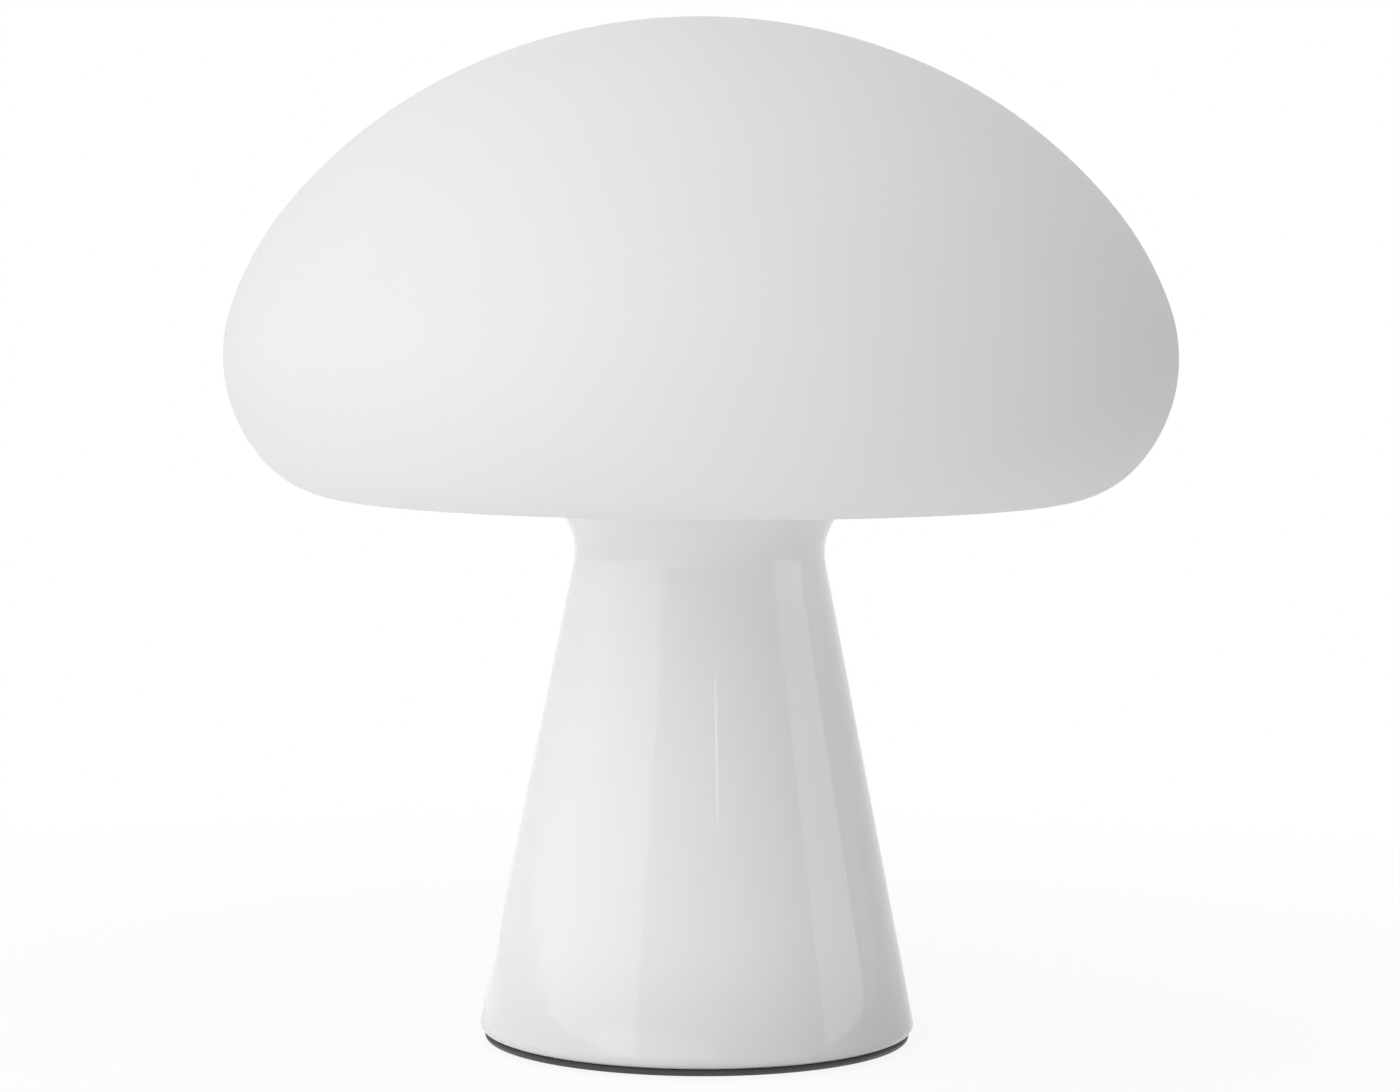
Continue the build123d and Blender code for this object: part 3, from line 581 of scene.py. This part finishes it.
def makeInductor():
    n = inductor
    low, high = nodeBox("power_inductor")
    spot = [((low + high) / 2)[:2]]
    bottom, top = low[2] + n["flange"], high[2] - n["flange"]
    drum = softened([(0, high[2]), (n["radius"], high[2]), (n["radius"], top), (n["core"], top),
                     (n["core"], bottom), (n["radius"], bottom), (n["radius"], low[2]), (0, low[2])],
                    n["rounding"], 4)
    ferrite = mouldedPlastic("ferrite", (0.05, 0.05, 0.052), rough=0.62, grain=0.06)
    addPiece("inductor_drum", copied(turned(drum, n["segments"]), spot), ferrite, "base", "power_inductor")
    turns = (top - bottom) / (2 * n["wire"]) - 1
    reaches = n["core"] + n["wire"] * (n["firstLayer"] + n["layerStep"] * np.arange(n["layers"]))
    layers = [wound(reach, bottom, top, turns, n["wire"]) for reach in reaches]
    addPiece("inductor_winding", copied(joined(*layers), spot),
             platedSteel("enamelledCopper", (0.62, 0.27, 0.12), rough=0.2), "base", "power_inductor")


makeInductor()


# Capacitors: aluminium cans with a crimped waist, on black moulded bases, hanging under the board
capacitor = {"spots": [(12.0, 4.0), (7.5, -12.5)], "base": 0.8, "baseFit": 0.98, "baseCorner": 0.3,
             "baseEdge": 0.1, "waist": 0.28, "waistAt": 1.3, "waistHalf": 0.35, "ease": 0.1,
             "rounding": 0.12, "rimWidth": 0.45, "lidDepth": 0.15, "segments": 56}


def makeCapacitors():
    c = capacitor
    low, high = nodeBox("board_capacitors")
    radius = high[0] - max(x for x, y in c["spots"])
    top, waist = high[2] - c["base"], high[2] - c["waistAt"]
    above, rim, lid = radius - c["ease"], radius - c["rimWidth"], low[2] + c["lidDepth"]
    can = softened([(0, top), (above, top), (above, waist + c["waistHalf"]), (radius - c["waist"], waist),
                    (radius, waist - c["waistHalf"]), (radius, low[2]), (rim, low[2]),
                    (rim - c["lidDepth"], lid), (0, lid)], c["rounding"])
    addPiece("capacitor_cans", copied(turned(can, c["segments"]), c["spots"]),
             platedSteel("capacitorAluminium", (0.78, 0.78, 0.79), rough=0.2), "base", "board_capacitors")
    side = radius * math.sqrt(2) * c["baseFit"]
    seats = [(x, y, top) for x, y in c["spots"]]
    addPiece("capacitor_bases", copied(block((side, side, c["base"]), c["baseCorner"], c["baseEdge"]), seats),
             mouldedPlastic("capacitorBase", (0.03, 0.03, 0.03)), "base", "board_capacitors")


makeCapacitors()


# Board parts that are too small for a node: chip pads in rows, and small ceramic parts with tinned ends
boardParts = {
    "level": 8.0, "padSize": (0.3, 0.7, 0.12), "padPitch": 0.65, "padOut": 0.18,
    "chips": {"charger_chip": (5, 5), "led_driver_chip": (4, 0)},  # pads along X sides and along Y sides
    "ceramicSize": (1.6, 0.8, 0.55), "bodyLess": (0.2, 0.06, 0.03), "endLength": 0.35,
    "ceramics": [(-16, -1.5, 90), (-16, 1.5, 90), (-4.5, -10, 0), (-4.5, -12, 0), (5.5, -6.5, 90),
                 (5.5, -9.2, 90), (16.5, -2, 90), (15.5, -8, 0), (-6.5, 10.5, 0), (-5.2, -5.2, 90)],
}


# (x, y, z, turn) of a chip's pads, in rows along its two X sides and its two Y sides
def padSpots(node):
    p = boardParts
    low, high = nodeBox(node)
    middle, half = (low + high) / 2, (high - low) / 2
    spots = []
    for count, along in zip(p["chips"][node], (0, 1)):
        places = (np.arange(count) - (count - 1) / 2) * p["padPitch"]
        for sign in (-1, 1):
            for place in places:
                spot = [middle[0], middle[1], p["level"] - p["padSize"][2], 90.0 * along]
                spot[along] += place
                spot[1 - along] += sign * (half[1 - along] + p["padOut"])
                spots.append(spot)
    return spots


def makeBoardParts():
    p = boardParts
    tin = platedSteel("tinnedPads", (0.72, 0.72, 0.73), rough=0.25)
    pads = np.array([spot for node in p["chips"] for spot in padSpots(node)])
    pad = block(p["padSize"], corner=0.05, edge=0.03, steps=2)
    addPiece("chip_pads", copied(pad, pads[:, :3], np.radians(pads[:, 3])), tin, "base")
    length, width, height = p["ceramicSize"]
    places = np.array(p["ceramics"], float)
    turns = np.radians(places[:, 2])
    spots = np.column_stack([places[:, :2], np.full(len(places), p["level"] - height)])
    body = block(np.subtract(p["ceramicSize"], p["bodyLess"]), corner=0.06, edge=0.04, steps=2)
    addPiece("ceramic_bodies", copied(body, spots, turns),
             mouldedPlastic("ceramic", (0.36, 0.25, 0.17), rough=0.4), "base")
    shift = (length - p["endLength"]) / 2 * np.column_stack([np.cos(turns), np.sin(turns), 0 * turns])
    end = block((p["endLength"], width, height), corner=0.08, edge=0.06)
    ends = [copied(end, spots + sign * shift, turns) for sign in (-1, 1)]
    addPiece("ceramic_ends", joined(*ends), tin, "base")


makeBoardParts()


# LEDs: white packages with a round well, and a yellow dome of phosphor in each
led = {"count": 12, "circle": 9.5, "size": 2.8, "height": 0.8, "corner": 0.3, "edge": 0.08, "segments": 24,
       "well": 1.1, "wellDepth": 0.2, "wellDraft": 0.15, "wellBevel": (0.06, 0.03),
       "domeGap": 0.16, "domeRise": 0.16, "domeLift": 0.01, "domeSteps": 7}


# places on the circle, (r cos a, r sin a, up), and their angles, half a step on from the X axis
def ledSpots(up):
    angles = np.arange(led["count"]) * 2 * np.pi / led["count"] + np.pi / led["count"]
    spots = np.stack([led["circle"] * np.cos(angles), led["circle"] * np.sin(angles), up + 0 * angles], 1)
    return spots, angles


# a rounded square from its side up, then circles from the well's rim down into the well
def ledPackage():
    n = led
    steps = n["segments"] // 4
    turn = (np.linspace(0, np.pi / 2, steps) + np.arange(4)[:, None] * np.pi / 2).ravel()
    centre = np.repeat([[1, 1], [-1, 1], [-1, -1], [1, -1]], steps, 0) * (n["size"] / 2 - n["corner"])
    ring = np.stack([np.cos(turn), np.sin(turn)], 1)
    side = centre + ring * n["corner"]
    top, floor = n["height"], n["height"] - n["wellDepth"]
    bevelOut, bevelDown = n["wellBevel"]
    rows = [(0 * ring, floor), (ring * (n["well"] - n["wellDraft"]), floor),
            (ring * n["well"], top - bevelDown), (ring * (n["well"] + bevelOut), top),
            (side - ring * n["edge"], top), (side, top - n["edge"]), (side, 0), (0 * ring, 0)]
    return skin(np.stack([np.column_stack([flat, np.full(len(turn), up)]) for flat, up in rows]))


def makeLeds():
    n = led
    low, high = nodeBox("led_chips")
    spots, angles = ledSpots(low[2])
    addPiece("led_packages", copied(ledPackage(), spots, angles),
             mouldedPlastic("ledCeramic", (0.86, 0.86, 0.84), rough=0.35), "base", "led_chips")
    floor = n["height"] - n["wellDepth"] + n["domeLift"]
    share = np.linspace(0, 1, n["domeSteps"])
    dome = np.stack([share * (n["well"] - n["domeGap"]), floor + n["domeRise"] * np.sqrt(1 - share ** 2)], 1)
    addPiece("led_phosphor", copied(turned(np.vstack([dome, [(0, floor)]]), n["segments"]), spots),
             mouldedPlastic("phosphor", (0.85, 0.66, 0.16), rough=0.25), "base", "led_chips")


makeLeds()


# Contacts on both faces of the charging socket's tongue
contacts = {"count": 12, "pitch": 0.5, "size": (0.28, 0.05, 3.2), "tongue": 0.7, "spotY": 16.5, "bottom": 2.2}


def makeContacts():
    c = contacts
    across = (np.arange(c["count"]) - (c["count"] - 1) / 2) * c["pitch"]
    out = (c["tongue"] + c["size"][1]) / 2
    spots = [(x, c["spotY"] + sign * out, c["bottom"]) for sign in (-1, 1) for x in across]
    addPiece("socket_contacts", copied(block(c["size"], corner=0.02, edge=0.01, steps=2), spots),
             platedSteel("contactGold", (0.85, 0.62, 0.26), rough=0.2), "base")


makeContacts()


# Solder joints round the leads: radius = wire + (foot - wire) (1 - h)^2 at the share h of their height,
# under a low cap that closes over the wire's end
solder = {"wire": 0.6, "skin": 0.04, "foot": 1.25, "height": 0.75, "capReach": 0.8, "capRise": (0.12, 0.08),
          "segments": 28, "steps": 9, "corner": (5.5, 12.2)}


def makeSolder():
    s = solder
    share = np.linspace(1, 0, s["steps"])
    radius = s["wire"] + s["skin"] + (s["foot"] - s["wire"]) * (1 - share) ** 2
    middle, edge = (s["height"] + rise for rise in s["capRise"])
    cap = [(0, middle), (s["wire"] * s["capReach"], edge)]
    profile = np.concatenate([cap, np.stack([radius, s["height"] * share], 1), [(0, 0)]])
    x, y = s["corner"]
    boardTop, ledBoardTop = nodeBox("driver_board")[1][2], nodeBox("led_board")[1][2]
    ledLeads = [(-x, y), (x, -y)]
    spots = [(*spot, boardTop) for spot in [*ledLeads, (0, 0), (0, y)]]
    spots += [(*spot, ledBoardTop) for spot in ledLeads]
    addPiece("solder_joints", copied(turned(profile, s["segments"]), spots),
             platedSteel("solder", (0.66, 0.66, 0.68), rough=0.18), "base")


makeSolder()


# Finishes of the CAD pieces that stay as they are
finishes = {
    "glass_collar": mouldedPlastic("collarMoulding", (0.8, 0.8, 0.79)),
    "glass_bond": rubberSkin("bondSilicone", (0.72, 0.72, 0.7), rough=0.45),
    "seat_ring": mouldedPlastic("slipFilm", (0.05, 0.05, 0.052), rough=0.35),
    "foot_pad": rubberSkin("padSilicone", (0.03, 0.03, 0.031), ringPitch=1.2),
    "base_housing": paintedMetal("graphitePaint", (0.045, 0.045, 0.048)),
    "bottom_cover": paintedMetal("coverCoat", (0.03, 0.03, 0.032), rough=0.55),
    "ballast_disc": turnedMetal("ballastSteel", (0.5, 0.5, 0.51), rough=0.36, pitch=1.2),
    "driver_board": boardMask("driverMask", (0.012, 0.085, 0.035), (0.03, 0.19, 0.08)),
    "usb_socket": platedSteel("socketShell", (0.62, 0.62, 0.64)),
    "switch_body": mouldedPlastic("switchMoulding", (0.03, 0.03, 0.03)),
    "switch_plunger": mouldedPlastic("plungerMoulding", (0.6, 0.56, 0.48)),
    "charger_chip": mouldedPlastic("chargerPackage", (0.02, 0.02, 0.021), rough=0.45),
    "led_driver_chip": mouldedPlastic("driverPackage", (0.022, 0.022, 0.023), rough=0.45),
    "charge_led": mouldedPlastic("chargeLedLens", (0.82, 0.8, 0.7), rough=0.2),
    "light_pipe": clearAcrylic("pipeAcrylic"),
    "battery_tower": mouldedPlastic("towerMoulding", (0.82, 0.82, 0.81)),
    "insulator_disc": mouldedPlastic("insulatorCard", (0.6, 0.56, 0.44), rough=0.7, grain=0.05),
    "negative_contact": platedSteel("negativeNickel", (0.7, 0.68, 0.64)),
    "positive_contact": platedSteel("positiveNickel", (0.72, 0.7, 0.66)),
    "heat_sink": turnedMetal("sinkAluminium", (0.76, 0.76, 0.77)),
    "led_board": boardMask("ledBoardMask", (0.82, 0.82, 0.81), (0.87, 0.87, 0.86), pitch=3.4),
    "negative_lead": rubberSkin("blackLead", (0.02, 0.02, 0.02), rough=0.4),
    "positive_lead": rubberSkin("redLead", (0.42, 0.02, 0.015), rough=0.4),
    "led_leads": rubberSkin("whiteLead", (0.74, 0.74, 0.73), rough=0.4),
}
for screws in ("cover_screws", "tower_screws", "sink_screws", "board_screws", "led_screws"):
    finishes[screws] = platedSteel(screws.replace("_s", "S") + "Zinc", (0.62, 0.62, 0.63), rough=0.26)
for name, material in finishes.items():
    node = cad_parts[name]
    node.data.materials.clear()
    node.data.materials.append(material)
print("finishes given:", len(finishes))


# Stage, in metres. The floor is plain white further out, and near the lamp it lets some of its shade show.
# Its paint is greyer in a soft patch by the right of the foot, a painted shadow.
stageSet = {"floorSize": 6.0, "floorColor": 0.97, "shadeShare": 0.09, "shadeOver": (0.1, 0.4),
            "paintedShadowAt": 0.08, "paintedShadowOver": (0.025, 0.085), "paintedShadowColor": 0.76}


# 1 for camera rays and for mirrored or refracted ones, so that all of them see a white ground
def whiteForView(f):
    path = f.node("ShaderNodeLightPath").socket.node
    rays = [Sock(f, path.outputs[name]) for name in ("Is Camera Ray", "Is Glossy Ray", "Is Transmission Ray")]
    return f.node("ShaderNodeMath", {"operation": "MINIMUM"}, {0: rays[0] + rays[1] + rays[2], 1: 1.0})


def makeFloor():
    s = stageSet
    half = s["floorSize"] / 2
    mesh = bpy.data.meshes.new("floor")
    corners = [(-half, -half, 0), (half, -half, 0), (half, half, 0), (-half, half, 0)]
    mesh.from_pydata(corners, [], [(0, 1, 2, 3)])
    floor = bpy.data.objects.new("floor", mesh)
    bpy.context.scene.collection.objects.link(floor)
    material, f = newFinish("paleFloor")
    away, up = f.fromAxis()
    whiteShare = f.fade(away, *s["shadeOver"], 1 - s["shadeShare"], 1.0)
    x, y, z = f.axes(f.place())
    # painted shadow: grey paint within a few centimetres of a spot right of the foot, pale further out
    fromPaintedShadow = ((x - s["paintedShadowAt"]) ** 2 + y * y) ** 0.5
    grey, pale = (f.node("ShaderNodeBsdfDiffuse", {}, {"Color": (*[s[color]] * 3, 1)})
                  for color in ("paintedShadowColor", "floorColor"))
    paint = f.node("ShaderNodeMixShader", {}, {0: f.fade(fromPaintedShadow, *s["paintedShadowOver"]), 1: grey, 2: pale})
    white = f.node("ShaderNodeEmission", {}, {"Color": (1, 1, 1, 1), "Strength": 1.0})
    mixed = f.node("ShaderNodeMixShader", {}, {0: whiteForView(f) * whiteShare, 1: paint, 2: white})
    f.end("ShaderNodeOutputMaterial", mixed)
    mesh.materials.append(material)


# the world lights evenly from front and back, and more from the left than from the right
worldSet = {"middle": 0.407, "moreFromLeft": 0.256}


def makeWorld():
    world = bpy.data.worlds.new("studio")
    bpy.context.scene.world = world
    f = Finish(world)
    x, y, z = f.axes(f.node("ShaderNodeTexCoord", output="Generated"))
    level = worldSet["middle"] - x * worldSet["moreFromLeft"]
    seen = whiteForView(f)
    sky = f.node("ShaderNodeBackground", {}, {"Color": (1, 1, 1, 1), "Strength": seen + level * (1 - seen)})
    f.end("ShaderNodeOutputWorld", sky)


# each softbox: the azimuths of its two ends, in degrees from the front with the right positive, the number
# of panels between them, the elevation of its middle and its height in degrees, and its radiance
softboxes = {
    "leftStrip": (-94.0, -32.0, 2, 11.0, 20.0, 0.95),
    "leftRearFirst": (-108.0, -94.0, 1, 9.0, 18.0, 0.6),
    "leftRearSecond": (-122.0, -108.0, 1, 7.0, 16.0, 0.32),
    "leftRearThird": (-138.0, -122.0, 1, 6.0, 14.0, 0.15),
    "leftFill": (-72.0, -28.0, 1, 40.0, 30.0, 0.2),
    "frontFill": (-33.0, 8.0, 1, 41.0, 36.0, 1.28),
    "frontLow": (-55.0, 10.0, 1, 1.5, 8.0, 0.8),
    "frontLine": (12.1, 13.1, 1, 13.3, 3.4, 3.2),
    "topPanel": (-30.0, 30.0, 1, 88.0, 60.0, 0.46),
    "rightStrip": (71.0, 103.4, 1, 7.5, 17.0, 0.98),
    "rightRearStrip": (105.2, 122.0, 1, 4.0, 14.0, 0.2),
}
softboxDistance = 1.1   # metres from the middle of the lamp
lampMiddle = 0.1

# pale cards on the floor that throw light up under the cap: x, y, z, width and depth in metres, radiance
cards = {
    "leftCard": (-0.2, -0.06, 0.002, 0.28, 0.5, 0.165),
    "frontCard": (0.06, -0.2, 0.002, 0.24, 0.22, 0.18),
}


def addPanel(name, place, width, height, radiance):
    light = bpy.data.lights.new(name, "AREA")
    light.shape = "RECTANGLE"
    light.size, light.size_y = width, height
    light.energy = radiance * math.pi * width * height
    panel = bpy.data.objects.new(name, light)
    panel.matrix_world = place
    panel.visible_camera = False
    bpy.context.scene.collection.objects.link(panel)


def makeSoftboxes():
    for name, (start, end, panels, elevation, height, radiance) in softboxes.items():
        step, up = math.radians((end - start) / panels), math.radians(elevation)
        for panel in range(panels):
            turn = math.radians(start) + step * (panel + 0.5)
            away = np.array([math.sin(turn) * math.cos(up), -math.cos(turn) * math.cos(up), math.sin(up)])
            place = (Matrix.Translation(away * softboxDistance + (0, 0, lampMiddle))
                     @ Matrix.Rotation(turn, 4, "Z") @ Matrix.Rotation(math.pi / 2 - up, 4, "X"))
            sides = (2 * softboxDistance * math.tan(angle / 2) for angle in (step, math.radians(height)))
            addPanel(name + str(panel + 1), place, *sides, radiance)


def makeCards():
    for name, (x, y, z, width, depth, radiance) in cards.items():
        place = Matrix.Translation((x, y, z)) @ Matrix.Rotation(math.pi, 4, "X")
        addPanel(name, place, width, depth, radiance)


# the camera stands 0.9 m in front and looks down a little; focal length in pixels of the frame's width
cameraSet = {"distance": 900.0, "height": 170.4, "down": 4.137, "roll": 0.367, "aside": 0.03,
             "focal": 4274.0, "frameWidth": 1400, "sensor": 36.0, "near": 0.05, "far": 20.0}


def makeCamera():
    c = cameraSet
    data = bpy.data.cameras.new("camera")
    data.sensor_width = c["sensor"]
    data.lens = c["focal"] / c["frameWidth"] * c["sensor"]
    data.clip_start, data.clip_end = c["near"], c["far"]
    camera = bpy.data.objects.new("camera", data)
    camera.matrix_world = (Matrix.Translation((c["aside"] * mm, -c["distance"] * mm, c["height"] * mm))
                           @ Matrix.Rotation(math.radians(90 - c["down"]), 4, "X")
                           @ Matrix.Rotation(math.radians(c["roll"]), 4, "Z"))
    bpy.context.scene.collection.objects.link(camera)
    bpy.context.scene.camera = camera


makeFloor()
makeWorld()
makeSoftboxes()
makeCards()
makeCamera()
bpy.context.scene.view_settings.view_transform = "Standard"
print("stage made")
